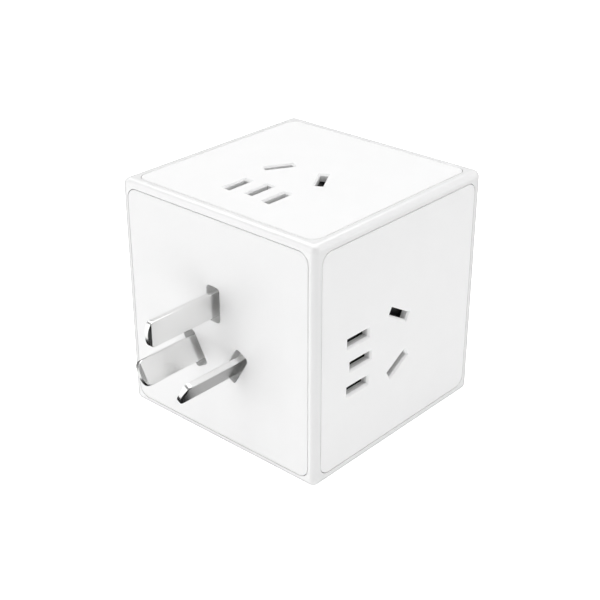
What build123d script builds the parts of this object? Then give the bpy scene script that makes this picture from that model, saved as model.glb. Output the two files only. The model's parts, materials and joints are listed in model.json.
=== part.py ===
from build123d import *
import os
from math import cos, radians, sin

os.makedirs("parts", exist_ok=True)

# A cube adapter that plugs straight into a wall socket and repeats its outlet on three sides.
# Frame: origin at the centre of the plug's pin circle, on the rear face. +Y points out of the rear
# face along the pins, +Z is up with the earth pin on top, and the front face looks along -Y.
# All lengths are millimetres. "Depth" is measured inwards from a cube face.

# Cube and skin
SIDE = 62.0  # cube, edge to edge
PLUG_RIGHT = 0.6  # pin circle's centre, to the right of the cube's middle
PLUG_LOW = 3.3  # and below it
EDGE_R = 1.7  # rounding of the cube's edges
PANEL_T = 1.2  # face panels
PANEL_GAP = 0.15  # seam between a panel and the frame around it
PANEL_R = 2.8  # panel corners
PANEL_EDGE_R = 0.15
LIP_R = 0.1  # frame's edge along the seam
WALL = 2.0  # housing wall behind a panel
SKIN = PANEL_T + WALL  # depth of the housing's inner faces
REAR_HALF = 29.1  # half width of each recess that takes a panel
SIDE_HALF = 28.7
TOP_HALF = 28.5
PEG_AT = 20.0  # panel pegs, from the panel's middle
PEG_R = 1.5
FIT = 0.05  # radial clearance of a peg or a screw in its hole

# Plug pins and outlet slots
PIN_W = 6.4
PIN_T = 1.5
EARTH_RADIUS = 10.3  # pins' distances from the circle's centre
LIVE_RADIUS = 7.9
EARTH_LENGTH = 21.0  # pins' lengths in front of the rear face
LIVE_LENGTH = 18.0
PIN_TAIL = 10.2  # pins' inner ends
PIN_POCKET = (9.35, 4.3)  # pocket round each pin
PIN_POCKET_R = 1.0
PIN_POCKET_WALL = 0.2
TWO_PIN_ROW = 11.3  # two-pin slots' distance from the circle's centre, on the earth's side
TWO_PIN_HALF = 6.35
MOUTH_CHAMFER = 0.45  # bevel round each slot's mouth
SLOT_L = 7.4  # slots below the bevel
SLOT_W = 2.0
OUTLET_Y = -26.7  # centre of each outlet's pin circle

# Shutters, measured as depth below an outlet's face
RECESS_TOP = 1.9  # recess in the housing's wall that the shutters slide in
SHUTTER_TOP = 2.0
SHUTTER_T = 2.0
BASE_TOP = 4.15  # floor of the shutters' channels
WINDOW_W = 3.0  # windows that a pin passes through once its shutter has moved
WINDOW_L = 8.3
RAMP_TOP = 1.2  # a ramp's upper edge, past its slot's centre
RAMP_DEPTH = 1.6
THREE_PIN_TRAVEL = 4.0
TWO_PIN_TRAVEL = 3.4
SPRING_R = 0.85
SPRING_WIRE = 0.3
SPRING_END = 16.2  # channel's wall that the springs push against
TWO_PIN_CHANNEL = (-16.7, -4.9)  # channels' sides, in local X
THREE_PIN_CHANNEL = (-1.8, 9.6)
TWO_PIN_STOP = 12.6  # channels' ends, on the other side from the springs
THREE_PIN_STOP = 15.2

# Socket bases and contacts
FLANGE_T = 1.2
BLOCK_BOTTOM = 18.6
EARTH_BOTTOM = 21.6
SHEET = 0.5  # contact brass
BUS = 0.8  # busbar brass
ARM = 2.8  # width of the contact strips and of the busbars' arms
STRIP_AT = 6.6  # live and neutral contact strips, from their outlet's centreline
LIVE_PLATE = 38.4  # busbars' cross plates, measured in from the rear face
NEUTRAL_PLATE = 41.0
EARTH_PLATE = 43.6

# USB supply behind the front face
BOARD_BACK = 47.0
BOARD_T = 1.6
BOARD_FRONT = BOARD_BACK + BOARD_T
FRONT_INNER = SIDE - SKIN
PORT_END = SIDE - 0.2
USB_A = (13.1, 5.8)
USB_A_ROWS = (9.5, -0.5)  # heights above the cube's middle
USB_C = (8.94, 3.26)
USB_C_ROW = -9.5
LIGHT_ROW = 17.0
LIGHT_R = 1.0
PORT_CLEARANCE = 0.15

MIDDLE = Vector(-PLUG_RIGHT, -SIDE / 2, PLUG_LOW)


def face_plane(normal, x_dir):
    """Plane on the middle of the cube's face that has this outward normal."""
    return Plane(origin=MIDDLE + Vector(*normal) * (SIDE / 2), x_dir=x_dir, z_dir=normal)


REAR = face_plane((0, 1, 0), (-1, 0, 0))
FRONT = face_plane((0, -1, 0), (1, 0, 0))
LEFT = face_plane((-1, 0, 0), (0, -1, 0))
RIGHT = face_plane((1, 0, 0), (0, -1, 0))
TOP = face_plane((0, 0, 1), (0, -1, 0))
BOTTOM = face_plane((0, 0, -1), (0, -1, 0))
PANELS = {
    "rear": (REAR, REAR_HALF),
    "front": (FRONT, SIDE_HALF),
    "left": (LEFT, SIDE_HALF),
    "right": (RIGHT, SIDE_HALF),
    "top": (TOP, TOP_HALF),
    "bottom": (BOTTOM, TOP_HALF),
}

# An outlet's plane has its origin at the pin circle's centre. Local X leads away from the earth slot,
# and local +Y is the live side.
OUTLETS = {
    "left": Plane(origin=(LEFT.origin.X, OUTLET_Y, 0), x_dir=(0, -1, 0), z_dir=(-1, 0, 0)),
    "top": Plane(origin=(0, OUTLET_Y, TOP.origin.Z), x_dir=(0, -1, 0), z_dir=(0, 0, 1)),
    "right": Plane(origin=(RIGHT.origin.X, OUTLET_Y, 0), x_dir=(0, -1, 0), z_dir=(1, 0, 0)),
}
LIVE_U = LIVE_RADIUS * cos(radians(60))
LIVE_V = LIVE_RADIUS * sin(radians(60))

# Slots as (local X, local Y, turn in degrees)
EARTH_SLOT = (-EARTH_RADIUS, 0, 0)
LIVE_SLOT = (LIVE_U, LIVE_V, -30)
NEUTRAL_SLOT = (LIVE_U, -LIVE_V, 30)
LIVE_TWO_PIN = (-TWO_PIN_ROW, TWO_PIN_HALF, 0)
NEUTRAL_TWO_PIN = (-TWO_PIN_ROW, -TWO_PIN_HALF, 0)
ALL_SLOTS = [EARTH_SLOT, LIVE_SLOT, NEUTRAL_SLOT, LIVE_TWO_PIN, NEUTRAL_TWO_PIN]

# Pins as (X, Z, turn of the blade's width about +Y in the rear plane's own directions)
EARTH_PIN = (0, EARTH_RADIUS, 90)
LIVE_PIN = (LIVE_V, -LIVE_U, -60)
NEUTRAL_PIN = (-LIVE_V, -LIVE_U, 60)
PINS = [EARTH_PIN, LIVE_PIN, NEUTRAL_PIN]
PIN_PLANE = Plane(origin=(0, 0, 0), x_dir=(-1, 0, 0), z_dir=(0, 1, 0))


def outward(plane):
    """Axis through a plane's origin, along its normal."""
    return Axis(plane.origin, plane.z_dir)


def draw_slots(slots, length, width, shift=0.0, corner=0.0):
    """Draws a rectangle on each slot in the open sketch, moved by shift along local Y."""
    for u, v, turn in slots:
        with Locations((u, v + shift)):
            if corner:
                RectangleRounded(length, width, corner, rotation=turn)
            else:
                Rectangle(length, width, rotation=turn)


def draw_pins(length, width, corner=0.0):
    """Draws a rectangle on each plug pin in the open sketch, which lies on the rear plane."""
    draw_slots([(-x, z, turn) for x, z, turn in PINS], length, width, corner=corner)


def bar(low_x, high_x, low_y, high_y):
    """Draws a rectangle between two corners in the open sketch."""
    with Locations(((low_x + high_x) / 2, (low_y + high_y) / 2)):
        Rectangle(high_x - low_x, high_y - low_y)


def draw_channels():
    """Draws an outlet's two shutter channels in the open sketch, each with its spring's room."""
    bar(*TWO_PIN_CHANNEL, -TWO_PIN_STOP, SPRING_END)
    bar(*THREE_PIN_CHANNEL, -THREE_PIN_STOP, SPRING_END)


def blade_plane(plane, slot, depth):
    """Plane across a slot: local X over its width, local Y outwards, normal along its length."""
    u, v, turn = slot
    centre = plane.from_local_coords((u, v, -depth))
    across = (-sin(radians(turn)), cos(radians(turn)), 0)
    along = (cos(radians(turn)), sin(radians(turn)), 0)
    x_dir = plane.from_local_coords(across) - plane.origin
    z_dir = plane.from_local_coords(along) - plane.origin
    return Plane(origin=centre, x_dir=x_dir, z_dir=z_dir)


# ---------------------------------------------------------------- housing
SCREW_AT = 24.3  # rear base's screws, from the cube's middle
POST_X = 20.0  # posts that carry the USB board
POST_Z = 12.0
POST_R = 2.6
INNER_R = 1.0
CORNER_BLOCK = 6.4
CORNER_BLOCK_END = 16.0
REAR_BASE_END = 4.2
SCREW_R = 1.25
BASE_SCREWS = [(-3.35, 13.9), (-3.35, -13.9)]  # socket base's screws, in an outlet's plane
BASE_SCREW_R = 0.9
BASE_SCREW_END = 1.7  # depth of the bottom of their holes
BASE_BOSS_R = 1.5
CORNER_HOLE = 9.0
POST_HOLE = 6.0

with BuildPart() as housing:
    with BuildSketch(REAR):
        Rectangle(SIDE, SIDE)
    extrude(amount=-SIDE)
    fillet(housing.edges(), EDGE_R)
    with BuildSketch(REAR):
        RectangleRounded(SIDE - 2 * SKIN, SIDE - 2 * SKIN, INNER_R)
    extrude(amount=-FRONT_INNER, mode=Mode.SUBTRACT)
    for side, (plane, half) in PANELS.items():
        with BuildSketch(plane):
            RectangleRounded(2 * half, 2 * half, PANEL_R + PANEL_GAP)
        extrude(amount=-PANEL_T, mode=Mode.SUBTRACT)
        lip = housing.edges(Select.LAST).group_by(outward(plane))[-1]
        fillet(lip, LIP_R)
        if side != "rear":
            with BuildSketch(plane.offset(-PANEL_T)):
                with GridLocations(2 * PEG_AT, 2 * PEG_AT, 2, 2):
                    Circle(PEG_R + FIT)
            extrude(amount=-WALL, mode=Mode.SUBTRACT)
    for plane in OUTLETS.values():
        with BuildSketch(plane.offset(-PANEL_T)):
            draw_slots(ALL_SLOTS, SLOT_L, SLOT_W)
        extrude(amount=-WALL, mode=Mode.SUBTRACT)
        with BuildSketch(plane.offset(-RECESS_TOP)):
            draw_channels()
        extrude(amount=-(SKIN - RECESS_TOP), mode=Mode.SUBTRACT)
        with BuildSketch(plane.offset(-SKIN)):
            with Locations(*BASE_SCREWS):
                Circle(BASE_BOSS_R)
        extrude(amount=-(BASE_TOP - SKIN))
        with BuildSketch(plane.offset(-BASE_TOP)):
            with Locations(*BASE_SCREWS):
                Circle(BASE_SCREW_R + FIT)
        extrude(amount=BASE_TOP - BASE_SCREW_END, mode=Mode.SUBTRACT)
    # Corner blocks that take the rear base's screws
    with BuildSketch(REAR.offset(-REAR_BASE_END)):
        with GridLocations(2 * SCREW_AT + 1, 2 * SCREW_AT + 1, 2, 2):
            Rectangle(CORNER_BLOCK, CORNER_BLOCK)
    extrude(amount=-(CORNER_BLOCK_END - REAR_BASE_END))
    with BuildSketch(REAR.offset(-REAR_BASE_END)):
        with GridLocations(2 * SCREW_AT, 2 * SCREW_AT, 2, 2):
            Circle(SCREW_R + FIT)
    extrude(amount=-CORNER_HOLE, mode=Mode.SUBTRACT)
    # Posts for the USB board, and the ports' and the light's openings in the front wall
    with BuildSketch(FRONT.offset(-SKIN)):
        with GridLocations(2 * POST_X, 2 * POST_Z, 2, 2):
            Circle(POST_R)
    extrude(amount=-(FRONT_INNER - BOARD_FRONT))
    with BuildSketch(FRONT.offset(BOARD_FRONT - SIDE)):
        with GridLocations(2 * POST_X, 2 * POST_Z, 2, 2):
            Circle(BASE_SCREW_R + FIT)
    extrude(amount=POST_HOLE, mode=Mode.SUBTRACT)
    with BuildSketch(FRONT.offset(-PANEL_T)):
        with Locations(*[(0, row) for row in USB_A_ROWS]):
            Rectangle(USB_A[0] + 2 * PORT_CLEARANCE, USB_A[1] + 2 * PORT_CLEARANCE)
        with Locations((0, USB_C_ROW)):
            SlotOverall(USB_C[0] + 2 * PORT_CLEARANCE, USB_C[1] + 2 * PORT_CLEARANCE)
        with Locations((0, LIGHT_ROW)):
            Circle(LIGHT_R + FIT)
    extrude(amount=-WALL, mode=Mode.SUBTRACT)
housing.part.label = "housing"
export_step(housing.part, "parts/housing.step")

# ---------------------------------------------------------------- face panels
for side, (plane, half) in PANELS.items():
    with BuildPart() as panel:
        with BuildSketch(plane):
            RectangleRounded(2 * (half - PANEL_GAP), 2 * (half - PANEL_GAP), PANEL_R)
        extrude(amount=-PANEL_T)
        fillet(panel.edges().group_by(outward(plane))[-1], PANEL_EDGE_R)
        with BuildSketch(plane.offset(-PANEL_T)):
            with GridLocations(2 * PEG_AT, 2 * PEG_AT, 2, 2):
                Circle(PEG_R)
        extrude(amount=-WALL)
        if side in OUTLETS:
            with BuildSketch(OUTLETS[side]):
                draw_slots(ALL_SLOTS, SLOT_L, SLOT_W)
            extrude(amount=-PANEL_T, mode=Mode.SUBTRACT)
            chamfer(panel.edges(Select.LAST).group_by(outward(plane))[-1], MOUTH_CHAMFER)
        if side == "rear":
            with BuildSketch(PIN_PLANE):
                draw_pins(*PIN_POCKET, corner=PIN_POCKET_R)
            extrude(amount=-PANEL_T, mode=Mode.SUBTRACT)
        if side == "front":
            with BuildSketch(plane):
                with Locations(*[(0, row) for row in USB_A_ROWS]):
                    Rectangle(USB_A[0] + 2 * PORT_CLEARANCE, USB_A[1] + 2 * PORT_CLEARANCE)
                with Locations((0, USB_C_ROW)):
                    SlotOverall(USB_C[0] + 2 * PORT_CLEARANCE, USB_C[1] + 2 * PORT_CLEARANCE)
                with Locations((0, LIGHT_ROW)):
                    Circle(LIGHT_R + FIT)
            extrude(amount=-PANEL_T, mode=Mode.SUBTRACT)
    panel.part.label = f"{side}_panel"
    export_step(panel.part, f"parts/{side}_panel.step")

# ---------------------------------------------------------------- plug
BASE_PLAY = 0.1  # rear base's clearance inside the housing
POCKET_END = 3.2  # floor of the pocket round each pin
PIN_BOSS_END = 7.4
TIP_BEVEL = 1.0  # length of a pin's arched and bevelled tip
TIP_T = 1.0
TIP_CORNER_R = 1.5
BLADE_EDGE_R = 0.2
HEAD_R = 2.3
REAR_SCREW_L = 10.0
PAN_HEAD_R = 1.7
PAN_HEAD_T = 1.0
DRIVE = (1.3, 0.3)  # cross recess in a head, as shares of the head's radius
DRIVE_DEPTH = 0.5  # and of its height

with BuildPart() as rear_base:
    with BuildSketch(REAR.offset(-PANEL_T)):
        base_side = SIDE - 2 * (SKIN + BASE_PLAY)
        RectangleRounded(base_side, base_side, INNER_R - BASE_PLAY)
    extrude(amount=-(REAR_BASE_END - PANEL_T))
    with BuildSketch(PIN_PLANE.offset(-REAR_BASE_END)):
        draw_pins(
            PIN_POCKET[0] + 2 * PIN_POCKET_WALL,
            PIN_POCKET[1] + 2 * PIN_POCKET_WALL,
            corner=PIN_POCKET_R + PIN_POCKET_WALL,
        )
    extrude(amount=-(PIN_BOSS_END - REAR_BASE_END))
    with BuildSketch(PIN_PLANE.offset(-PANEL_T)):
        draw_pins(*PIN_POCKET, corner=PIN_POCKET_R)
    extrude(amount=-(POCKET_END - PANEL_T), mode=Mode.SUBTRACT)
    with BuildSketch(PIN_PLANE.offset(-PANEL_T)):
        draw_pins(PIN_W, PIN_T)
    extrude(amount=-PIN_BOSS_END, mode=Mode.SUBTRACT)
    with BuildSketch(REAR.offset(-PANEL_T)):
        with GridLocations(2 * PEG_AT, 2 * PEG_AT, 2, 2):
            Circle(PEG_R + FIT)
    extrude(amount=-WALL, mode=Mode.SUBTRACT)
    with Locations(REAR.offset(-PANEL_T)):
        with GridLocations(2 * SCREW_AT, 2 * SCREW_AT, 2, 2):
            CounterSinkHole(SCREW_R + FIT, HEAD_R + FIT, depth=REAR_BASE_END)
rear_base.part.label = "rear_base"
export_step(rear_base.part, "parts/rear_base.step")


def make_pin(pin, length):
    """A flat blade: arched tip with a bevel on both faces, plain tail inside the rear base."""
    x, z, turn = pin
    width_dir = Vector(-cos(radians(turn)), 0, sin(radians(turn)))
    flat = Plane(origin=(x, 0, z), x_dir=width_dir, z_dir=width_dir.cross(Vector(0, 1, 0)))
    shoulder = length - TIP_BEVEL
    with BuildPart() as blade:
        with BuildSketch(flat) as outline:
            with BuildLine():
                Polyline(
                    (-PIN_W / 2, shoulder),
                    (-PIN_W / 2, -PIN_TAIL),
                    (PIN_W / 2, -PIN_TAIL),
                    (PIN_W / 2, shoulder),
                )
                ThreePointArc((PIN_W / 2, shoulder), (0, length), (-PIN_W / 2, shoulder))
            make_face()
            fillet(outline.vertices().group_by(Axis.Y)[-1], TIP_CORNER_R)
        extrude(amount=PIN_T / 2, both=True)
        fillet(blade.edges().filter_by(Axis.Y), BLADE_EDGE_R)
        across = Plane(origin=(x, 0, z), x_dir=flat.z_dir, z_dir=-width_dir)
        for sign in (-1, 1):
            with BuildSketch(across):
                with BuildLine():
                    Polyline(
                        (sign * PIN_T / 2, shoulder),
                        (sign * TIP_T / 2, length),
                        (sign * TIP_T / 2, length + 1),
                        (sign * (PIN_T / 2 + 1), length + 1),
                        (sign * (PIN_T / 2 + 1), shoulder),
                        close=True,
                    )
                make_face()
            extrude(amount=PIN_W, both=True, mode=Mode.SUBTRACT)
    return blade


for name, pin, length in (
    ("earth_pin", EARTH_PIN, EARTH_LENGTH),
    ("live_pin", LIVE_PIN, LIVE_LENGTH),
    ("neutral_pin", NEUTRAL_PIN, LIVE_LENGTH),
):
    pin_blade = make_pin(pin, length)
    pin_blade.part.label = name
    export_step(pin_blade.part, f"parts/{name}.step")


def make_screws(plane, spots, radius, length, head_r, head_t, countersunk):
    """Screws whose heads sit on this plane, with their shanks running against its normal."""
    with BuildPart() as screws:
        with BuildSketch(plane):
            with Locations(*spots):
                Circle(radius)
        extrude(amount=-length)
        if countersunk:
            with BuildSketch(plane):
                with Locations(*spots):
                    Circle(head_r)
            extrude(amount=-head_t, taper=45)
            drive = plane
        else:
            with BuildSketch(plane):
                with Locations(*spots):
                    Circle(head_r)
            extrude(amount=head_t)
            drive = plane.offset(head_t)
        with BuildSketch(drive):
            with Locations(*spots):
                for turn in (0, 90):
                    Rectangle(DRIVE[0] * head_r, DRIVE[1] * head_r, rotation=turn)
        extrude(amount=-DRIVE_DEPTH * head_t, mode=Mode.SUBTRACT)
    return screws


rear_spots = [(sx * SCREW_AT, sy * SCREW_AT) for sx in (-1, 1) for sy in (-1, 1)]
rear_base_screws = make_screws(
    REAR.offset(-PANEL_T), rear_spots, SCREW_R, REAR_SCREW_L, HEAD_R, HEAD_R - SCREW_R, True
)
rear_base_screws.part.label = "rear_base_screws"
export_step(rear_base_screws.part, "parts/rear_base_screws.step")

# ---------------------------------------------------------------- socket bases, contacts, shutters
FLANGE_U = (-17.9, 10.8)
FLANGE_V = 17.4
BLOCK_U = (-16.6, 9.6)
BLOCK_V = 11.4
EARTH_BLOCK = (9.0, 5.6)
ENTRY = (7.6, 2.4)  # openings that lead a pin into its cavity
CAVITY_TOP = 7.7
CAVITY = (7.4, 4.0)
BLOCK_R = 0.8
BLOCK_PLAY = 0.4  # between the block and the notches in the flange
CLIP_HALF = 3.0  # half length of a contact clip
CLIP_MOUTH = (1.6, 8.2)  # leaves of a clip, as (distance from the middle, depth)
CLIP_THROAT = (0.85, 10.4)
CLIP_HEEL = 1.5


def make_socket_base(outlet):
    """Insulating carrier: shutter channels on top, a cavity for each contact below."""
    with BuildPart() as base:
        with BuildSketch(outlet.offset(-SKIN)):
            bar(*FLANGE_U, -FLANGE_V, FLANGE_V)
        extrude(amount=-(BASE_TOP + FLANGE_T - SKIN))
        with BuildSketch(outlet.offset(-SKIN)):
            draw_channels()
            bar(TWO_PIN_CHANNEL[1], THREE_PIN_CHANNEL[0], -FLANGE_V, -BLOCK_V - BLOCK_PLAY)
            bar(TWO_PIN_CHANNEL[1], THREE_PIN_CHANNEL[0], BLOCK_V + BLOCK_PLAY, FLANGE_V)
        extrude(amount=-(BASE_TOP - SKIN), mode=Mode.SUBTRACT)
        with BuildSketch(outlet.offset(-(BASE_TOP + FLANGE_T))):
            bar(*BLOCK_U, -BLOCK_V, BLOCK_V)
        extrude(amount=-(BLOCK_BOTTOM - BASE_TOP - FLANGE_T))
        with BuildSketch(outlet.offset(-BLOCK_BOTTOM)):
            with Locations((-EARTH_RADIUS, 0)):
                Rectangle(*EARTH_BLOCK)
        extrude(amount=-(EARTH_BOTTOM - BLOCK_BOTTOM))
        with BuildSketch(outlet.offset(-BASE_TOP)):
            draw_slots(ALL_SLOTS, *ENTRY)
        extrude(amount=-(CAVITY_TOP - BASE_TOP), mode=Mode.SUBTRACT)
        with BuildSketch(outlet.offset(-CAVITY_TOP)):
            draw_slots(ALL_SLOTS, *CAVITY)
        extrude(amount=-(BLOCK_BOTTOM - CAVITY_TOP), mode=Mode.SUBTRACT)
        with BuildSketch(outlet.offset(-BLOCK_BOTTOM)):
            draw_slots([EARTH_SLOT], *CAVITY)
        extrude(amount=-(EARTH_BOTTOM - BLOCK_BOTTOM), mode=Mode.SUBTRACT)
        with BuildSketch(outlet.offset(-BASE_TOP)):
            with Locations(*BASE_SCREWS):
                Circle(BASE_SCREW_R + FIT)
        extrude(amount=-FLANGE_T, mode=Mode.SUBTRACT)
        fillet(base.edges().filter_by(outward(outlet)).group_by(SortBy.LENGTH)[-1], BLOCK_R)
    return base


def make_contact(outlet, slots, bottom, strip_v, end_u):
    """Sprung brass clips for the pins, joined by a strip that runs out to a busbar."""
    heel = bottom + SHEET / 2
    with BuildPart() as contact:
        for slot in slots:
            with BuildSketch(blade_plane(outlet, slot, 0)):
                with BuildLine():
                    Polyline(
                        (CLIP_MOUTH[0], -CLIP_MOUTH[1]),
                        (CLIP_THROAT[0], -CLIP_THROAT[1]),
                        (CLIP_HEEL, -heel),
                        (-CLIP_HEEL, -heel),
                        (-CLIP_THROAT[0], -CLIP_THROAT[1]),
                        (-CLIP_MOUTH[0], -CLIP_MOUTH[1]),
                    )
                trace(line_width=SHEET)
            extrude(amount=CLIP_HALF, both=True)
        with BuildSketch(outlet.offset(-bottom)):
            bar(slots[0][0] - CLIP_HALF, end_u, strip_v - ARM / 2, strip_v + ARM / 2)
        extrude(amount=-SHEET)
    return contact


def make_shutter(outlet, slots, travel, outline, openings):
    """Sliding plate: closed under each slot, with a ramp down to the window beside it."""
    top = outlet.offset(-SHUTTER_TOP)
    with BuildPart() as shutter:
        with BuildSketch(top):
            bar(*outline)
        extrude(amount=-SHUTTER_T)
        with BuildSketch(top):
            draw_slots(slots, WINDOW_L, WINDOW_W, shift=-travel)
            for opening in openings:
                bar(*opening)
        extrude(amount=-SHUTTER_T, mode=Mode.SUBTRACT)
        for slot in slots:
            window_edge = WINDOW_W / 2 - travel * cos(radians(slot[2]))
            with BuildSketch(blade_plane(outlet, slot, SHUTTER_TOP)):
                with BuildLine():
                    Polyline((RAMP_TOP, 0), (window_edge, 0), (window_edge, -RAMP_DEPTH), close=True)
                make_face()
            extrude(amount=SLOT_L / 2, both=True, mode=Mode.SUBTRACT)
    return shutter


def make_spring(outlet, start_v, u, turns):
    """Compression spring lying along local Y, between a shutter and its channel's end wall."""
    depth = SHUTTER_TOP + SHUTTER_T / 2
    length = SPRING_END - start_v - SPRING_WIRE
    centre = outlet.from_local_coords((u, start_v + SPRING_WIRE / 2, -depth))
    with BuildPart() as spring:
        with BuildLine():
            coil = Helix(
                pitch=length / turns,
                height=length,
                radius=SPRING_R,
                center=centre,
                direction=outlet.y_dir,
            )
        with BuildSketch(Plane(origin=coil @ 0, z_dir=coil % 0)):
            Circle(SPRING_WIRE / 2)
        sweep(path=coil, is_frenet=True)
    return spring


LIVE_SLOTS = [LIVE_TWO_PIN, LIVE_SLOT]
NEUTRAL_SLOTS = [NEUTRAL_TWO_PIN, NEUTRAL_SLOT]
THREE_PIN_PLATE = (-1.6, 9.4, -15.0, 10.5)
THREE_PIN_NOTCH = (6.6, 9.0, 7.8, 11.0)
TWO_PIN_PLATE = (-16.5, -5.1, -12.4, 9.0)
TWO_PIN_GAP = (-15.6, -6.0, -1.6, 1.6)
THREE_PIN_SPRING = (7.8, 7)  # local X of a spring, and its turns
TWO_PIN_SPRING = (-11.0, 6)

for side, outlet in OUTLETS.items():
    socket_base = make_socket_base(outlet)
    socket_base.part.label = f"{side}_socket_base"
    export_step(socket_base.part, f"parts/{side}_socket_base.step")

    for name, slots, bottom, strip_v, plate in (
        ("live", LIVE_SLOTS, BLOCK_BOTTOM, STRIP_AT, LIVE_PLATE),
        ("neutral", NEUTRAL_SLOTS, BLOCK_BOTTOM, -STRIP_AT, NEUTRAL_PLATE),
        ("earth", [EARTH_SLOT], EARTH_BOTTOM, 0, EARTH_PLATE),
    ):
        contact = make_contact(outlet, slots, bottom, strip_v, plate + OUTLET_Y)
        contact.part.label = f"{side}_{name}_contact"
        export_step(contact.part, f"parts/{side}_{name}_contact.step")

    three_pin_shutter = make_shutter(
        outlet, [LIVE_SLOT, NEUTRAL_SLOT], THREE_PIN_TRAVEL, THREE_PIN_PLATE, [THREE_PIN_NOTCH]
    )
    three_pin_shutter.part.label = f"{side}_three_pin_shutter"
    export_step(three_pin_shutter.part, f"parts/{side}_three_pin_shutter.step")

    two_pin_shutter = make_shutter(
        outlet, [LIVE_TWO_PIN, NEUTRAL_TWO_PIN], TWO_PIN_TRAVEL, TWO_PIN_PLATE, [TWO_PIN_GAP]
    )
    two_pin_shutter.part.label = f"{side}_two_pin_shutter"
    export_step(two_pin_shutter.part, f"parts/{side}_two_pin_shutter.step")

    three_pin_spring = make_spring(outlet, THREE_PIN_NOTCH[2], *THREE_PIN_SPRING)
    three_pin_spring.part.label = f"{side}_three_pin_spring"
    export_step(three_pin_spring.part, f"parts/{side}_three_pin_spring.step")

    two_pin_spring = make_spring(outlet, TWO_PIN_PLATE[3], *TWO_PIN_SPRING)
    two_pin_spring.part.label = f"{side}_two_pin_spring"
    export_step(two_pin_spring.part, f"parts/{side}_two_pin_spring.step")

    socket_screws = make_screws(
        Plane(
            origin=outlet.from_local_coords((0, 0, -BASE_TOP - FLANGE_T)),
            x_dir=outlet.x_dir,
            z_dir=-outlet.z_dir,
        ),
        BASE_SCREWS,
        BASE_SCREW_R,
        BASE_TOP + FLANGE_T - RECESS_TOP,
        PAN_HEAD_R,
        PAN_HEAD_T,
        False,
    )
    socket_screws.part.label = f"{side}_socket_screws"
    export_step(socket_screws.part, f"parts/{side}_socket_screws.step")

# ---------------------------------------------------------------- busbars
# Each bar starts as a pad on its pin's tail, runs straight in between the socket bases, and ends in a
# flat cross plate whose arms reach the contact strips of the three outlets.
PAD_START = 7.6
STRIP_START = 10.4
PAD_END = 11.4
PAD_RADIUS = LIVE_RADIUS - PIN_T / 2 - BUS / 2
STRIP_X = (5.3, 6.1)
STRIP_Z = (-6.9, -0.9)
POWER_ARM_X = 4.4  # a power plate's upright arm starts this far from the centre
FAR_ARM_Z = (3.0, 5.0)  # arm that crosses to the outlet on the other side
PAD_W = 5.2
EARTH_PAD_Z = (7.3, EARTH_RADIUS)
LEFT_LIVE_X = LEFT.origin.X + BLOCK_BOTTOM + SHEET / 2
RIGHT_LIVE_X = RIGHT.origin.X - BLOCK_BOTTOM - SHEET / 2
TOP_LIVE_Z = TOP.origin.Z - BLOCK_BOTTOM - SHEET / 2
LEFT_EARTH_X = LEFT.origin.X + EARTH_BOTTOM + SHEET / 2
RIGHT_EARTH_X = RIGHT.origin.X - EARTH_BOTTOM - SHEET / 2
TOP_EARTH_Z = TOP.origin.Z - EARTH_BOTTOM - SHEET / 2


def behind(depth):
    """Plane parallel to the rear face, this far inside it, with local X and Y along X and Z."""
    return Plane.XZ.offset(depth)


def make_power_busbar(sign, near_x, far_x, plate):
    """Live (sign 1) or neutral (sign -1) busbar; near_x is the outlet on its own side."""
    arm_x = sign * POWER_ARM_X
    with BuildPart() as busbar:
        with BuildSketch(behind(PAD_START)):
            with Locations((sign * PAD_RADIUS * cos(radians(30)), -PAD_RADIUS * sin(radians(30)))):
                Rectangle(BUS, PAD_W, rotation=-30 * sign)
        extrude(amount=PAD_END - PAD_START)
        with BuildSketch(behind(STRIP_START)):
            bar(*sorted((sign * STRIP_X[0], sign * STRIP_X[1])), *STRIP_Z)
        extrude(amount=plate - STRIP_START)
        with BuildSketch(behind(plate)):
            bar(*sorted((arm_x, arm_x + sign * ARM)), -STRIP_AT - ARM / 2, TOP_LIVE_Z + 1)
            bar(*sorted((arm_x, sign * (STRIP_AT + ARM / 2))), TOP_LIVE_Z - ARM, TOP_LIVE_Z + 1)
            bar(*sorted((arm_x, near_x + sign)), -STRIP_AT - ARM / 2, -STRIP_AT + ARM / 2)
            bar(*sorted((arm_x, far_x - sign)), *FAR_ARM_Z)
            bar(*sorted((far_x - sign, far_x + sign)), FAR_ARM_Z[0], STRIP_AT + ARM / 2)
        extrude(amount=BUS)
    return busbar


live_busbar = make_power_busbar(1, RIGHT_LIVE_X, LEFT_LIVE_X, LIVE_PLATE)
live_busbar.part.label = "live_busbar"
export_step(live_busbar.part, "parts/live_busbar.step")

neutral_busbar = make_power_busbar(-1, LEFT_LIVE_X, RIGHT_LIVE_X, NEUTRAL_PLATE)
neutral_busbar.part.label = "neutral_busbar"
export_step(neutral_busbar.part, "parts/neutral_busbar.step")

with BuildPart() as earth_busbar:
    with BuildSketch(behind(PAD_START)):
        bar(PIN_T / 2, PIN_T / 2 + BUS, *EARTH_PAD_Z)
    extrude(amount=EARTH_PLATE - PAD_START)
    with BuildSketch(behind(EARTH_PLATE)):
        bar(-ARM / 2, PIN_T / 2 + BUS, -ARM / 2, TOP_EARTH_Z + 1)
        bar(LEFT_EARTH_X - 1, RIGHT_EARTH_X + 1, -ARM / 2, ARM / 2)
    extrude(amount=BUS)
earth_busbar.part.label = "earth_busbar"
export_step(earth_busbar.part, "parts/earth_busbar.step")

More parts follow.
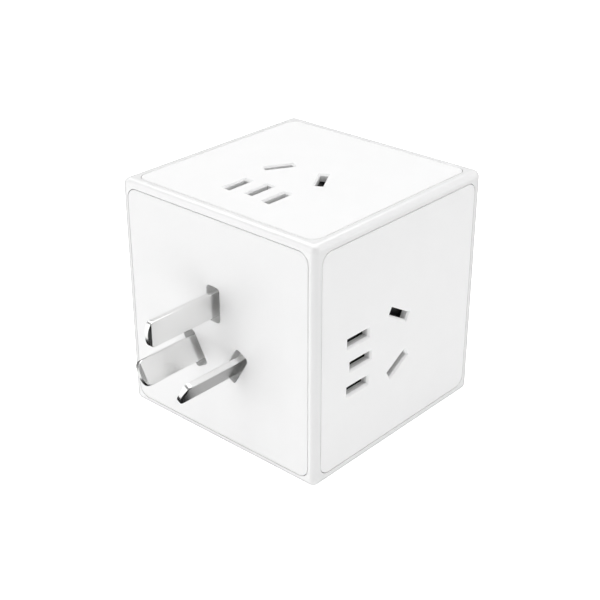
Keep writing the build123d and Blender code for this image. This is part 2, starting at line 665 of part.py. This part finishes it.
# ---------------------------------------------------------------- USB supply
BOARD = (46.0, 40.0)
BOARD_R = 1.5
BOARD_SCREW_L = 6.0
LEAD_X = 5.8
LEAD_R = 0.6
LEAD_Z = -6.0
BOARD_PLANE = FRONT.offset(BOARD_FRONT - SIDE)  # board's front surface, looking out of the front face
USB_A_SHELL = 0.3
USB_C_SHELL = 0.25
USB_A_TONGUE = (11.1, 1.8)
USB_A_TONGUE_RISE = 1.0  # above the port's centre
USB_A_CONTACT_X = (-3.5, -1.0, 1.0, 3.5)
USB_A_CONTACT = (1.0, 0.2)
USB_A_CONTACT_END = 0.6  # behind the tongue's tip
USB_C_TONGUE = (6.7, 0.7)
TONGUE_RECESS = 1.0  # tongue's tip behind the port's mouth
INSULATOR_T = 4.0
USB_C_CAVITY = 6.5
PORT_LENGTH = PORT_END - BOARD_FRONT
TRANSFORMER_AT = (13.0, 1.0)
TRANSFORMER_H = 9.0
CORE = (13.0, 3.0)  # core's length and half thickness
CORE_WINDOW = (3.1, 2.6)  # its two windows' distance from the middle, and their width
WINDING = (10.0, 8.6)
WINDING_H = 5.6
WINDING_R = 1.2
WINDING_CORE = (6.2, 3.7)
CAPACITORS = [(-12.5, 8.0, 4.0, 9.2), (-12.5, -3.5, 3.15, 8.0), (13.0, -12.5, 3.15, 8.0)]
CAPACITOR_EDGE_R = 0.5
CHIPS = [(-13.0, -13.0, 5.0, 4.0), (13.0, 14.0, 4.7, 4.7)]
CHIP_H = 1.6
LED = (3.0, 1.5)
LED_H = 1.1
LIGHT_GAP = 0.2  # between the LED and the light pipe
LIGHT_FLANGE = (1.6, 0.8)  # radius and thickness
LIGHT_EDGE_R = 0.2

with BuildPart() as usb_board:
    with BuildSketch(BOARD_PLANE):
        RectangleRounded(*BOARD, BOARD_R)
    extrude(amount=-BOARD_T)
    with Locations(BOARD_PLANE):
        with GridLocations(2 * POST_X, 2 * POST_Z, 2, 2):
            Hole(BASE_SCREW_R + FIT)
usb_board.part.label = "usb_board"
export_step(usb_board.part, "parts/usb_board.step")

post_spots = [(sx * POST_X, sy * POST_Z) for sx in (-1, 1) for sy in (-1, 1)]
board_back = Plane(
    origin=BOARD_PLANE.offset(-BOARD_T).origin, x_dir=BOARD_PLANE.x_dir, z_dir=-BOARD_PLANE.z_dir
)
usb_board_screws = make_screws(
    board_back, post_spots, BASE_SCREW_R, BOARD_SCREW_L, PAN_HEAD_R, PAN_HEAD_T, False
)
usb_board_screws.part.label = "usb_board_screws"
export_step(usb_board_screws.part, "parts/usb_board_screws.step")

with BuildPart() as usb_supply_leads:
    for x, plate in ((LEAD_X, LIVE_PLATE), (-LEAD_X, NEUTRAL_PLATE)):
        with BuildSketch(behind(plate + BUS)):
            with Locations((x, LEAD_Z)):
                Circle(LEAD_R)
        extrude(amount=BOARD_BACK - plate - BUS)
usb_supply_leads.part.label = "usb_supply_leads"
export_step(usb_supply_leads.part, "parts/usb_supply_leads.step")

with BuildPart() as usb_a_shells:
    with BuildSketch(BOARD_PLANE):
        with Locations(*[(0, row) for row in USB_A_ROWS]):
            RectangleRounded(*USB_A, 0.4)
            Rectangle(USB_A[0] - 2 * USB_A_SHELL, USB_A[1] - 2 * USB_A_SHELL, mode=Mode.SUBTRACT)
    extrude(amount=PORT_LENGTH)
usb_a_shells.part.label = "usb_a_shells"
export_step(usb_a_shells.part, "parts/usb_a_shells.step")

with BuildPart() as usb_a_tongues:
    with BuildSketch(BOARD_PLANE):
        with Locations(*[(0, row) for row in USB_A_ROWS]):
            Rectangle(USB_A[0] - 2 * USB_A_SHELL, USB_A[1] - 2 * USB_A_SHELL)
    extrude(amount=INSULATOR_T)
    with BuildSketch(BOARD_PLANE):
        with Locations(*[(0, row + USB_A_TONGUE_RISE) for row in USB_A_ROWS]):
            Rectangle(*USB_A_TONGUE)
    extrude(amount=PORT_LENGTH - TONGUE_RECESS)
usb_a_tongues.part.label = "usb_a_tongues"
export_step(usb_a_tongues.part, "parts/usb_a_tongues.step")

with BuildPart() as usb_a_contacts:
    with BuildSketch(BOARD_PLANE.offset(INSULATOR_T)):
        under_tongue = USB_A_TONGUE_RISE - (USB_A_TONGUE[1] + USB_A_CONTACT[1]) / 2
        for row in USB_A_ROWS:
            for x in USB_A_CONTACT_X:
                with Locations((x, row + under_tongue)):
                    Rectangle(*USB_A_CONTACT)
    extrude(amount=PORT_LENGTH - TONGUE_RECESS - INSULATOR_T - USB_A_CONTACT_END)
usb_a_contacts.part.label = "usb_a_contacts"
export_step(usb_a_contacts.part, "parts/usb_a_contacts.step")

with BuildPart() as usb_c_shell:
    with BuildSketch(BOARD_PLANE):
        with Locations((0, USB_C_ROW)):
            SlotOverall(*USB_C)
            SlotOverall(
                USB_C[0] - 2 * USB_C_SHELL, USB_C[1] - 2 * USB_C_SHELL, mode=Mode.SUBTRACT
            )
    extrude(amount=PORT_LENGTH)
usb_c_shell.part.label = "usb_c_shell"
export_step(usb_c_shell.part, "parts/usb_c_shell.step")

with BuildPart() as usb_c_tongue:
    with BuildSketch(BOARD_PLANE):
        with Locations((0, USB_C_ROW)):
            SlotOverall(USB_C[0] - 2 * USB_C_SHELL, USB_C[1] - 2 * USB_C_SHELL)
    extrude(amount=PORT_LENGTH - USB_C_CAVITY)
    with BuildSketch(BOARD_PLANE):
        with Locations((0, USB_C_ROW)):
            Rectangle(*USB_C_TONGUE)
    extrude(amount=PORT_LENGTH - TONGUE_RECESS)
usb_c_tongue.part.label = "usb_c_tongue"
export_step(usb_c_tongue.part, "parts/usb_c_tongue.step")

with BuildPart() as transformer_core:
    core_plane = Plane(
        origin=BOARD_PLANE.from_local_coords((*TRANSFORMER_AT, TRANSFORMER_H / 2)),
        x_dir=(0, 0, 1),
        z_dir=(1, 0, 0),
    )
    with BuildSketch(core_plane):
        Rectangle(CORE[0], TRANSFORMER_H)
        with Locations((CORE_WINDOW[0], 0), (-CORE_WINDOW[0], 0)):
            Rectangle(CORE_WINDOW[1], WINDING_H, mode=Mode.SUBTRACT)
    extrude(amount=CORE[1], both=True)
transformer_core.part.label = "transformer_core"
export_step(transformer_core.part, "parts/transformer_core.step")

with BuildPart() as transformer_winding:
    with BuildSketch(BOARD_PLANE.offset((TRANSFORMER_H - WINDING_H) / 2)):
        with Locations(TRANSFORMER_AT):
            RectangleRounded(*WINDING, WINDING_R)
            Rectangle(*WINDING_CORE, mode=Mode.SUBTRACT)
    extrude(amount=WINDING_H)
transformer_winding.part.label = "transformer_winding"
export_step(transformer_winding.part, "parts/transformer_winding.step")

with BuildPart() as capacitors:
    for x, z, radius, height in CAPACITORS:
        with BuildSketch(BOARD_PLANE):
            with Locations((x, z)):
                Circle(radius)
        extrude(amount=height)
    round_edges = capacitors.edges().filter_by(GeomType.CIRCLE).sort_by(Axis.Y)
    fillet(round_edges[: len(CAPACITORS)], CAPACITOR_EDGE_R)
capacitors.part.label = "capacitors"
export_step(capacitors.part, "parts/capacitors.step")

with BuildPart() as control_chips:
    with BuildSketch(BOARD_PLANE):
        for x, z, length, width in CHIPS:
            with Locations((x, z)):
                Rectangle(length, width)
    extrude(amount=CHIP_H)
control_chips.part.label = "control_chips"
export_step(control_chips.part, "parts/control_chips.step")

with BuildPart() as indicator_led:
    with BuildSketch(BOARD_PLANE):
        with Locations((0, LIGHT_ROW)):
            Rectangle(*LED)
    extrude(amount=LED_H)
indicator_led.part.label = "indicator_led"
export_step(indicator_led.part, "parts/indicator_led.step")

with BuildPart() as light_pipe:
    with BuildSketch(FRONT):
        with Locations((0, LIGHT_ROW)):
            Circle(LIGHT_R)
    extrude(amount=-(SIDE - BOARD_FRONT - LED_H - LIGHT_GAP))
    with BuildSketch(FRONT.offset(-SKIN)):
        with Locations((0, LIGHT_ROW)):
            Circle(LIGHT_FLANGE[0])
    extrude(amount=-LIGHT_FLANGE[1])
    fillet(light_pipe.edges().group_by(Axis.Y)[0], LIGHT_EDGE_R)
light_pipe.part.label = "light_pipe"
export_step(light_pipe.part, "parts/light_pipe.step")
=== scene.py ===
"""Looks for the cube travel adapter: materials, springs, studio and camera, in metres."""

import json
import math

import bmesh
import bpy
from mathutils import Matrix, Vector


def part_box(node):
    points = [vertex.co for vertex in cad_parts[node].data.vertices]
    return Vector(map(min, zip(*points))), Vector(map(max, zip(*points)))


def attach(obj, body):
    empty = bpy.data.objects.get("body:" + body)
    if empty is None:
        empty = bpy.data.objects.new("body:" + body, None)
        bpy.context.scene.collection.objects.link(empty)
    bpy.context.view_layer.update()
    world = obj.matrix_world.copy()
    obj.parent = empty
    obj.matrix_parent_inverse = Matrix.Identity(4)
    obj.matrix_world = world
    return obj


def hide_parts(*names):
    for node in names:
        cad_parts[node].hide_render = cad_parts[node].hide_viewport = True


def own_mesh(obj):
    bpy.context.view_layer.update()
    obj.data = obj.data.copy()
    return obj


MM = 0.001

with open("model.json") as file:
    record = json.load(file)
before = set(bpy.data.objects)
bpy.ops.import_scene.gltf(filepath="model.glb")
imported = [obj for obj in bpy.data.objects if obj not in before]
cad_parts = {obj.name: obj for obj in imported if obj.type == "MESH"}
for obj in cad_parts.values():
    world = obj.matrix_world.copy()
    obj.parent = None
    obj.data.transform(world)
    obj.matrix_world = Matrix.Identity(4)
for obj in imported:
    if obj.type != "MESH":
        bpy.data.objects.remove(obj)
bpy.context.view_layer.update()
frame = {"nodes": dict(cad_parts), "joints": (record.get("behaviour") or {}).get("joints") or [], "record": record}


# ------------------------------------------------------------------ node helpers
class Nodes:
    """A material's node tree, with short calls for the nodes that the materials share."""

    def __init__(self, name):
        self.material = bpy.data.materials.new(name)
        self.material.use_nodes = True
        self.tree = self.material.node_tree
        self.tree.nodes.clear()
        self.output = self.add("ShaderNodeOutputMaterial")
        self.shader = self.add("ShaderNodeBsdfPrincipled")
        self.link(self.shader.outputs["BSDF"], self.output.inputs["Surface"])
        self.place = self.add("ShaderNodeTexCoord").outputs["Object"]

    def add(self, kind, **settings):
        """A new node of a kind, with its properties set."""
        node = self.tree.nodes.new(kind)
        for key, value in settings.items():
            setattr(node, key, value)
        return node

    def link(self, output, socket):
        self.tree.links.new(output, socket)

    def stretched(self, scale):
        """Object coordinates scaled differently along each axis."""
        mapping = self.add("ShaderNodeMapping")
        mapping.inputs["Scale"].default_value = scale
        self.link(self.place, mapping.inputs["Vector"])
        return mapping.outputs["Vector"]

    def noise(self, size_mm, detail=2.0, rough=0.5, vector=None):
        """Noise whose features are about size_mm across."""
        node = self.add("ShaderNodeTexNoise")
        node.inputs["Scale"].default_value = 1.0 / (size_mm * MM)
        node.inputs["Detail"].default_value = detail
        node.inputs["Roughness"].default_value = rough
        self.link(vector or self.place, node.inputs["Vector"])
        return node.outputs["Fac"]

    def cells(self, size_mm):
        """Voronoi distance with cells about size_mm across."""
        node = self.add("ShaderNodeTexVoronoi")
        node.inputs["Scale"].default_value = 1.0 / (size_mm * MM)
        self.link(self.place, node.inputs["Vector"])
        return node.outputs["Distance"]

    def spread(self, value, low, high, start=0.3, end=0.7):
        """Maps a value from start..end to low..high."""
        node = self.add("ShaderNodeMapRange")
        node.inputs["From Min"].default_value = start
        node.inputs["From Max"].default_value = end
        node.inputs["To Min"].default_value = low
        node.inputs["To Max"].default_value = high
        self.link(value, node.inputs["Value"])
        return node.outputs["Result"]

    def ramp(self, value, stops):
        """Colour ramp with (position, colour) stops."""
        node = self.add("ShaderNodeValToRGB")
        ramp = node.color_ramp
        while len(ramp.elements) < len(stops):
            ramp.elements.new(0.5)
        for element, (position, colour) in zip(ramp.elements, stops):
            element.position = position
            element.color = (*colour, 1)
        self.link(value, node.inputs["Fac"])
        return node.outputs["Color"]

    def bump(self, height, depth_mm, normal=None):
        """A normal bent by a height map, over an earlier normal where one is given."""
        node = self.add("ShaderNodeBump")
        node.inputs["Strength"].default_value = 1.0
        node.inputs["Distance"].default_value = depth_mm * MM
        self.link(height, node.inputs["Height"])
        if normal:
            self.link(normal, node.inputs["Normal"])
        return node.outputs["Normal"]

    def finish(self, colour=None, rough=None, normal=None, **fixed):
        """Links what varies over the surface and sets the rest on the shader's sockets."""
        for socket, value in (("Base Color", colour), ("Roughness", rough), ("Normal", normal)):
            if value is not None:
                self.link(value, self.shader.inputs[socket])
        for socket, value in fixed.items():
            self.shader.inputs[socket.replace("_", " ")].default_value = value
        return self.material


def tint(colour, factor):
    return tuple(min(1.0, c * factor) for c in colour)


# ------------------------------------------------------------------ materials
def moulded(name, colour, rough, grain_mm, grain_depth, mottle=0.02, **fixed):
    """Moulded plastic: fine tool texture, faint flow mottling and slight gloss changes."""
    n = Nodes(name)
    flow = n.noise(9.0, detail=3.0)
    grain = n.noise(grain_mm, detail=3.0, rough=0.6)
    colour_out = n.ramp(flow, [(0.3, tint(colour, 1 - mottle)), (0.7, tint(colour, 1 + mottle))])
    rough_out = n.spread(n.noise(2.5, detail=4.0), rough * 0.92, rough * 1.08)
    return n.finish(colour_out, rough_out, n.bump(grain, grain_depth), **fixed)


def polished(name, colour, rough, **fixed):
    """Polished moulding: long low waves from the tool, hairlines in the gloss and faint handling."""
    n = Nodes(name)
    wave = n.noise(6.0, detail=1.0)
    handling = n.noise(14.0, detail=6.0, rough=0.7)
    colour_out = n.ramp(handling, [(0.35, tint(colour, 0.985)), (0.65, colour)])
    rough_out = n.spread(handling, rough * 0.8, rough * 1.5)
    fine = n.bump(n.noise(0.35, detail=2.0), 0.0008)
    return n.finish(colour_out, rough_out, n.bump(wave, 0.02, normal=fine), **fixed)


DARK_EDGE = (0.22, 0.22, 0.22, 1)  # plate's tint at a grazing angle


def plated_blade():
    """Nickel-plated brass blade: drawn lines along the pin, light tarnish and wipe marks."""
    n = Nodes("plated_blade")
    drawn = n.noise(0.16, detail=3.0, rough=0.65, vector=n.stretched((1.0, 0.02, 1.0)))
    wipes = n.noise(5.0, detail=5.0, rough=0.65, vector=n.stretched((1.0, 0.35, 1.0)))
    colour_out = n.ramp(wipes, [(0.3, (0.92, 0.92, 0.915)), (0.7, (0.95, 0.95, 0.945))])
    rough_out = n.spread(drawn, 0.2, 0.27)
    normal = n.bump(drawn, 0.0008)
    return n.finish(colour_out, rough_out, normal, Metallic=1.0, Specular_Tint=DARK_EDGE)


def rolled_strip(name, colour, rough):
    """Rolled metal strip or turned steel: fine lines, cloudy tarnish."""
    n = Nodes(name)
    lines = n.noise(0.12, detail=2.0, vector=n.stretched((1.0, 0.05, 1.0)))
    cloud = n.noise(3.0, detail=5.0, rough=0.7)
    colour_out = n.ramp(cloud, [(0.3, tint(colour, 0.82)), (0.7, tint(colour, 1.08))])
    rough_out = n.spread(cloud, rough * 1.3, rough * 0.8)
    return n.finish(colour_out, rough_out, n.bump(lines, 0.004), Metallic=1.0)


def circuit_board():
    """Green solder mask over copper tracks, with glass weave showing through."""
    n = Nodes("circuit_board")
    tracks = n.add("ShaderNodeTexBrick")
    tracks.inputs["Scale"].default_value = 180.0
    tracks.inputs["Mortar Size"].default_value = 0.06
    tracks.inputs["Color1"].default_value = (0.02, 0.16, 0.06, 1)
    tracks.inputs["Color2"].default_value = (0.025, 0.19, 0.075, 1)
    tracks.inputs["Mortar"].default_value = (0.05, 0.30, 0.12, 1)
    turn = n.add("ShaderNodeMapping")
    turn.inputs["Rotation"].default_value = (math.radians(90), 0, 0)
    n.link(n.place, turn.inputs["Vector"])
    n.link(turn.outputs["Vector"], tracks.inputs["Vector"])
    weave = n.cells(0.5)
    normal = n.bump(tracks.outputs["Fac"], 0.03, normal=n.bump(weave, 0.004))
    return n.finish(tracks.outputs["Color"], n.spread(weave, 0.28, 0.40), normal)


def sleeve(name, colour):
    """Shrink sleeve on a capacitor: glossy film with faint wrinkles."""
    n = Nodes(name)
    wrinkle = n.noise(1.2, detail=4.0, vector=n.stretched((1.0, 0.3, 1.0)))
    colour_out = n.ramp(wrinkle, [(0.3, tint(colour, 0.8)), (0.7, tint(colour, 1.2))])
    return n.finish(colour_out, n.spread(wrinkle, 0.2, 0.35), n.bump(wrinkle, 0.02))


def clear_moulding():
    """Clear light pipe with a frosted, faintly cloudy body."""
    n = Nodes("clear_moulding")
    cloud = n.noise(0.8, detail=3.0)
    colour_out = n.ramp(cloud, [(0.3, (0.86, 0.90, 0.93)), (0.7, (0.95, 0.97, 1.0))])
    rough_out = n.spread(cloud, 0.18, 0.35)
    return n.finish(colour_out, rough_out, n.bump(cloud, 0.004), Transmission_Weight=0.75, IOR=1.49)


# White plastic that light soaks a little way into
GLOWING_THROUGH = {
    "Subsurface_Weight": 0.35,
    "Subsurface_Radius": (1.0, 1.0, 1.0),
    "Subsurface_Scale": 1.2 * MM,
}

MATERIALS = {
    "frame_white": polished(
        "frame_white", (0.90, 0.90, 0.90), rough=0.16, Coat_Weight=0.6, Coat_Roughness=0.06
    ),
    "panel_white": moulded(
        "panel_white",
        (0.92, 0.92, 0.92),
        rough=0.42,
        grain_mm=0.28,
        grain_depth=0.004,
        mottle=0.006,
        **GLOWING_THROUGH,
    ),
    "base_white": moulded(
        "base_white",
        (0.95, 0.95, 0.945),
        rough=0.5,
        grain_mm=0.4,
        grain_depth=0.01,
        **GLOWING_THROUGH,
    ),
    "pin_metal": plated_blade(),
    "shutter_black": moulded(
        "shutter_black", (0.012, 0.012, 0.012), rough=0.45, grain_mm=0.35, grain_depth=0.01, mottle=0.2
    ),
    "spring_steel": rolled_strip("spring_steel", (0.55, 0.56, 0.57), rough=0.28),
    "carrier_grey": moulded(
        "carrier_grey", (0.05, 0.05, 0.052), rough=0.5, grain_mm=0.45, grain_depth=0.012, mottle=0.1
    ),
    "contact_brass": rolled_strip("contact_brass", (0.80, 0.60, 0.28), rough=0.25),
    "screw_steel": rolled_strip("screw_steel", (0.58, 0.59, 0.60), rough=0.3),
    "board_green": circuit_board(),
    "port_steel": rolled_strip("port_steel", (0.72, 0.72, 0.73), rough=0.22),
    "port_plastic": moulded(
        "port_plastic", (0.85, 0.85, 0.84), rough=0.4, grain_mm=0.3, grain_depth=0.006
    ),
    "port_black": moulded(
        "port_black", (0.02, 0.02, 0.02), rough=0.4, grain_mm=0.3, grain_depth=0.006, mottle=0.2
    ),
    "ferrite": moulded(
        "ferrite", (0.06, 0.06, 0.065), rough=0.6, grain_mm=0.5, grain_depth=0.03, mottle=0.15
    ),
    "winding": moulded(
        "winding", (0.72, 0.50, 0.10), rough=0.35, grain_mm=0.8, grain_depth=0.02, mottle=0.08
    ),
    "capacitor_sleeve": sleeve("capacitor_sleeve", (0.04, 0.05, 0.14)),
    "chip_black": moulded(
        "chip_black", (0.02, 0.02, 0.02), rough=0.55, grain_mm=0.25, grain_depth=0.012, mottle=0.2
    ),
    "clear_plastic": clear_moulding(),
}

SLOTS = {row["node"]: row["material_slot"] for row in frame["record"]["subparts"]}
for node, obj in frame["nodes"].items():
    obj.data.materials.clear()
    obj.data.materials.append(MATERIALS[SLOTS[node]])


# ------------------------------------------------------------------ shutter springs
WIRE = 0.15 * MM  # the wire's radius
TURNS = 9.0
END_TURNS = 1.5  # closed turns at each end
STEPS = 24  # points in each turn
END_PITCH = 2.1 * WIRE  # rise of a closed turn


def wire_mesh(name, points, radius, sides=10):
    """A closed round wire swept along points, with flat caps at its ends."""
    mesh = bpy.data.meshes.new(name)
    bm = bmesh.new()
    side = (points[1] - points[0]).orthogonal().normalized()
    rings = []
    for i, point in enumerate(points):
        ahead = points[min(i + 1, len(points) - 1)]
        behind = points[max(i - 1, 0)]
        tangent = (ahead - behind).normalized()
        side = (side - tangent * side.dot(tangent)).normalized()
        up = tangent.cross(side)
        angles = [2 * math.pi * k / sides for k in range(sides)]
        rings.append(
            [bm.verts.new(point + radius * (side * math.cos(a) + up * math.sin(a))) for a in angles]
        )
    for low, high in zip(rings, rings[1:]):
        for k in range(sides):
            j = (k + 1) % sides
            bm.faces.new((low[k], low[j], high[j], high[k]))
    bm.faces.new(list(reversed(rings[0])))
    bm.faces.new(rings[-1])
    bmesh.ops.recalc_face_normals(bm, faces=bm.faces)
    bm.to_mesh(mesh)
    bm.free()
    for polygon in mesh.polygons:
        polygon.use_smooth = len(polygon.vertices) == 4
    obj = bpy.data.objects.new(name, mesh)
    bpy.context.scene.collection.objects.link(obj)
    return obj


def coil_points(low, high, axis):
    """Centreline of a compression spring that fills a box, with closed end turns."""
    across = [i for i in range(3) if i != axis]
    centre = (low + high) / 2
    radius = (high - low)[across[0]] / 2 - WIRE
    length = (high - low)[axis] - 2 * WIRE
    free = length - 2 * END_TURNS * END_PITCH
    points = []
    for i in range(int(TURNS * STEPS) + 1):
        turn = i / STEPS
        if turn < END_TURNS:
            rise = turn * END_PITCH
        elif turn > TURNS - END_TURNS:
            rise = length - (TURNS - turn) * END_PITCH
        else:
            share = (turn - END_TURNS) / (TURNS - 2 * END_TURNS)
            rise = END_TURNS * END_PITCH + share * free
        angle = 2 * math.pi * turn
        point = centre.copy()
        point[axis] = low[axis] + WIRE + rise
        point[across[0]] = centre[across[0]] + radius * math.cos(angle)
        point[across[1]] = centre[across[1]] + radius * math.sin(angle)
        points.append(point)
    return points


def make_spring(joint):
    """A coil in place of a shutter's plain spring, filling that spring's box; the coil keeps one length."""
    node = joint["deforming_nodes"][0]["node"]
    low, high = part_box(node)
    axis = max(range(3), key=lambda i: (high - low)[i])
    spring = wire_mesh(f"{node}_coil", coil_points(low, high, axis), WIRE)
    spring.data.materials.append(MATERIALS["spring_steel"])
    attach(spring, "root")
    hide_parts(node)
    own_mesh(spring)


for joint in frame["joints"]:
    make_spring(joint)


# ------------------------------------------------------------------ studio and camera
AZIMUTH = math.radians(221.71)
ELEVATION = math.radians(26.99)
DISTANCE = 312.5 * MM  # from the cube's middle
SIDE_STEP = -0.7 * MM  # the aim's offset from the cube's middle, to the right and up
UP_STEP = -3.1 * MM
LENS = 73.83
FLOOR_HALF = 1.0  # half of the light table's side
FLOOR_GAP = 0.1 * MM  # from the table up to the cube
FLOOR_WHITE = (0.62, 0.62, 0.62)
FLOOR_GLOW = 0.78
UNDER_EDGE = 2.0 * MM  # from the housing's outline in to the edge of the glow under it
UNDER_GLOW = 0.95  # the table's glow where the cube stands on it
DOME_RADIUS = 3.5

housing_low, housing_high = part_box("housing")
cube_middle = (housing_low + housing_high) / 2
cube_floor = housing_low.z

# The picture's own directions: towards the camera, to the right and up
back = Vector(
    (
        math.sin(AZIMUTH) * math.cos(ELEVATION),
        -math.cos(AZIMUTH) * math.cos(ELEVATION),
        math.sin(ELEVATION),
    )
)
right = Vector((math.cos(AZIMUTH), math.sin(AZIMUTH), 0))
up = back.cross(right)


def make_camera():
    data = bpy.data.cameras.new("camera")
    data.lens = LENS
    data.sensor_width = 36.0
    data.clip_start = 0.01
    camera = bpy.data.objects.new("camera", data)
    camera.rotation_mode = "QUATERNION"
    camera.location = cube_middle + back * DISTANCE + right * SIDE_STEP + up * UP_STEP
    camera.rotation_quaternion = (-back).to_track_quat("-Z", "Y")
    bpy.context.scene.collection.objects.link(camera)
    bpy.context.scene.camera = camera


def softbox(name, direction, distance, width, height, power):
    """An area light at a distance from the cube, facing it."""
    data = bpy.data.lights.new(name, "AREA")
    data.shape = "RECTANGLE"
    data.size = width
    data.size_y = height
    data.energy = power
    light = bpy.data.objects.new(name, data)
    direction = Vector(direction).normalized()
    light.location = cube_middle + direction * distance
    light.rotation_mode = "QUATERNION"
    light.rotation_quaternion = (-direction).to_track_quat("-Z", "Y")
    light.visible_camera = False
    bpy.context.scene.collection.objects.link(light)


def make_world(above, below):
    """Dim room light: one level above the horizon and a darker one below it."""
    world = bpy.data.worlds.new("studio")
    world.use_nodes = True
    tree = world.node_tree
    place = tree.nodes.new("ShaderNodeTexCoord")
    split = tree.nodes.new("ShaderNodeSeparateXYZ")
    level = tree.nodes.new("ShaderNodeMapRange")
    level.inputs["From Min"].default_value = -0.35
    level.inputs["From Max"].default_value = 0.1
    level.inputs["To Min"].default_value = below
    level.inputs["To Max"].default_value = above
    tree.links.new(place.outputs["Generated"], split.inputs["Vector"])
    tree.links.new(split.outputs["Z"], level.inputs["Value"])
    tree.links.new(level.outputs["Result"], tree.nodes["Background"].inputs["Strength"])
    tree.nodes["Background"].inputs["Color"].default_value = (1, 1, 1, 1)
    bpy.context.scene.world = world


def footprint(n):
    """1 on the floor within the cube's flat underside, 0 outside it."""
    edge = (housing_high - housing_low).x / 2 - UNDER_EDGE
    shifted = n.add("ShaderNodeMapping")
    shifted.inputs["Location"].default_value = -cube_middle
    n.link(n.place, shifted.inputs["Vector"])
    parts = n.add("ShaderNodeSeparateXYZ")
    n.link(shifted.outputs["Vector"], parts.inputs["Vector"])
    inside = []
    for axis in ("X", "Y"):
        offset = n.add("ShaderNodeMath", operation="ABSOLUTE")
        n.link(parts.outputs[axis], offset.inputs[0])
        inside.append(n.spread(offset.outputs["Value"], 1.0, 0.0, edge - MM, edge))
    both = n.add("ShaderNodeMath", operation="MULTIPLY")
    n.link(inside[0], both.inputs[0])
    n.link(inside[1], both.inputs[1])
    return both.outputs["Value"]


def make_floor():
    """A large white light table under the cube, left out of reflections and clear from below."""
    mesh = bpy.data.meshes.new("studio_floor")
    half, z = FLOOR_HALF, cube_floor - FLOOR_GAP
    corners = [(-half, -half, z), (half, -half, z), (half, half, z), (-half, half, z)]
    mesh.from_pydata(corners, [], [(0, 1, 2, 3)])
    floor = bpy.data.objects.new("studio_floor", mesh)
    floor.visible_glossy = False
    n = Nodes("studio_floor")
    material = n.finish(Roughness=0.9, Emission_Color=(1, 1, 1, 1))
    under = footprint(n)
    n.link(n.spread(under, FLOOR_GLOW, UNDER_GLOW, 0.0, 1.0), n.shader.inputs["Emission Strength"])
    n.link(n.ramp(under, [(0.0, FLOOR_WHITE), (1.0, (0, 0, 0))]), n.shader.inputs["Base Color"])
    side = n.add("ShaderNodeNewGeometry").outputs["Backfacing"]
    clear = n.add("ShaderNodeBsdfTransparent").outputs["BSDF"]
    mix = n.add("ShaderNodeMixShader")
    n.link(side, mix.inputs["Fac"])
    n.link(n.shader.outputs["BSDF"], mix.inputs[1])
    n.link(clear, mix.inputs[2])
    n.link(mix.outputs["Shader"], n.output.inputs["Surface"])
    mesh.materials.append(material)
    bpy.context.scene.collection.objects.link(floor)


def make_backdrop():
    """A pale dome behind everything, seen by the camera alone."""
    mesh = bpy.data.meshes.new("studio_backdrop")
    bm = bmesh.new()
    bmesh.ops.create_icosphere(bm, subdivisions=3, radius=DOME_RADIUS)
    bm.to_mesh(mesh)
    bm.free()
    dome = bpy.data.objects.new("studio_backdrop", mesh)
    for ray in ("diffuse", "glossy", "transmission", "volume_scatter", "shadow"):
        setattr(dome, f"visible_{ray}", False)
    n = Nodes("studio_backdrop")
    white = {"Base_Color": (0, 0, 0, 1), "Emission_Color": (1, 1, 1, 1), "Emission_Strength": 1.0}
    mesh.materials.append(n.finish(**white))
    n.material.cycles.emission_sampling = "NONE"
    bpy.context.scene.collection.objects.link(dome)


make_camera()
make_world(above=0.3, below=0.03)
make_floor()
make_backdrop()
softbox("top_light", (0.15, -0.15, 1.0), distance=0.8, width=1.0, height=1.0, power=6.7)
softbox("left_light", (0.55, 1.0, 0.0), distance=0.8, width=0.8, height=1.3, power=3.85)
softbox("right_light", (-0.95, -0.8, 0.4), distance=0.8, width=0.7, height=0.8, power=1.42)
softbox("bounce_card", -back, distance=0.9, width=0.5, height=0.5, power=0.8)

scene = bpy.context.scene
scene.view_settings.view_transform = "Standard"
scene.view_settings.look = "None"
scene.view_settings.exposure = 0.0
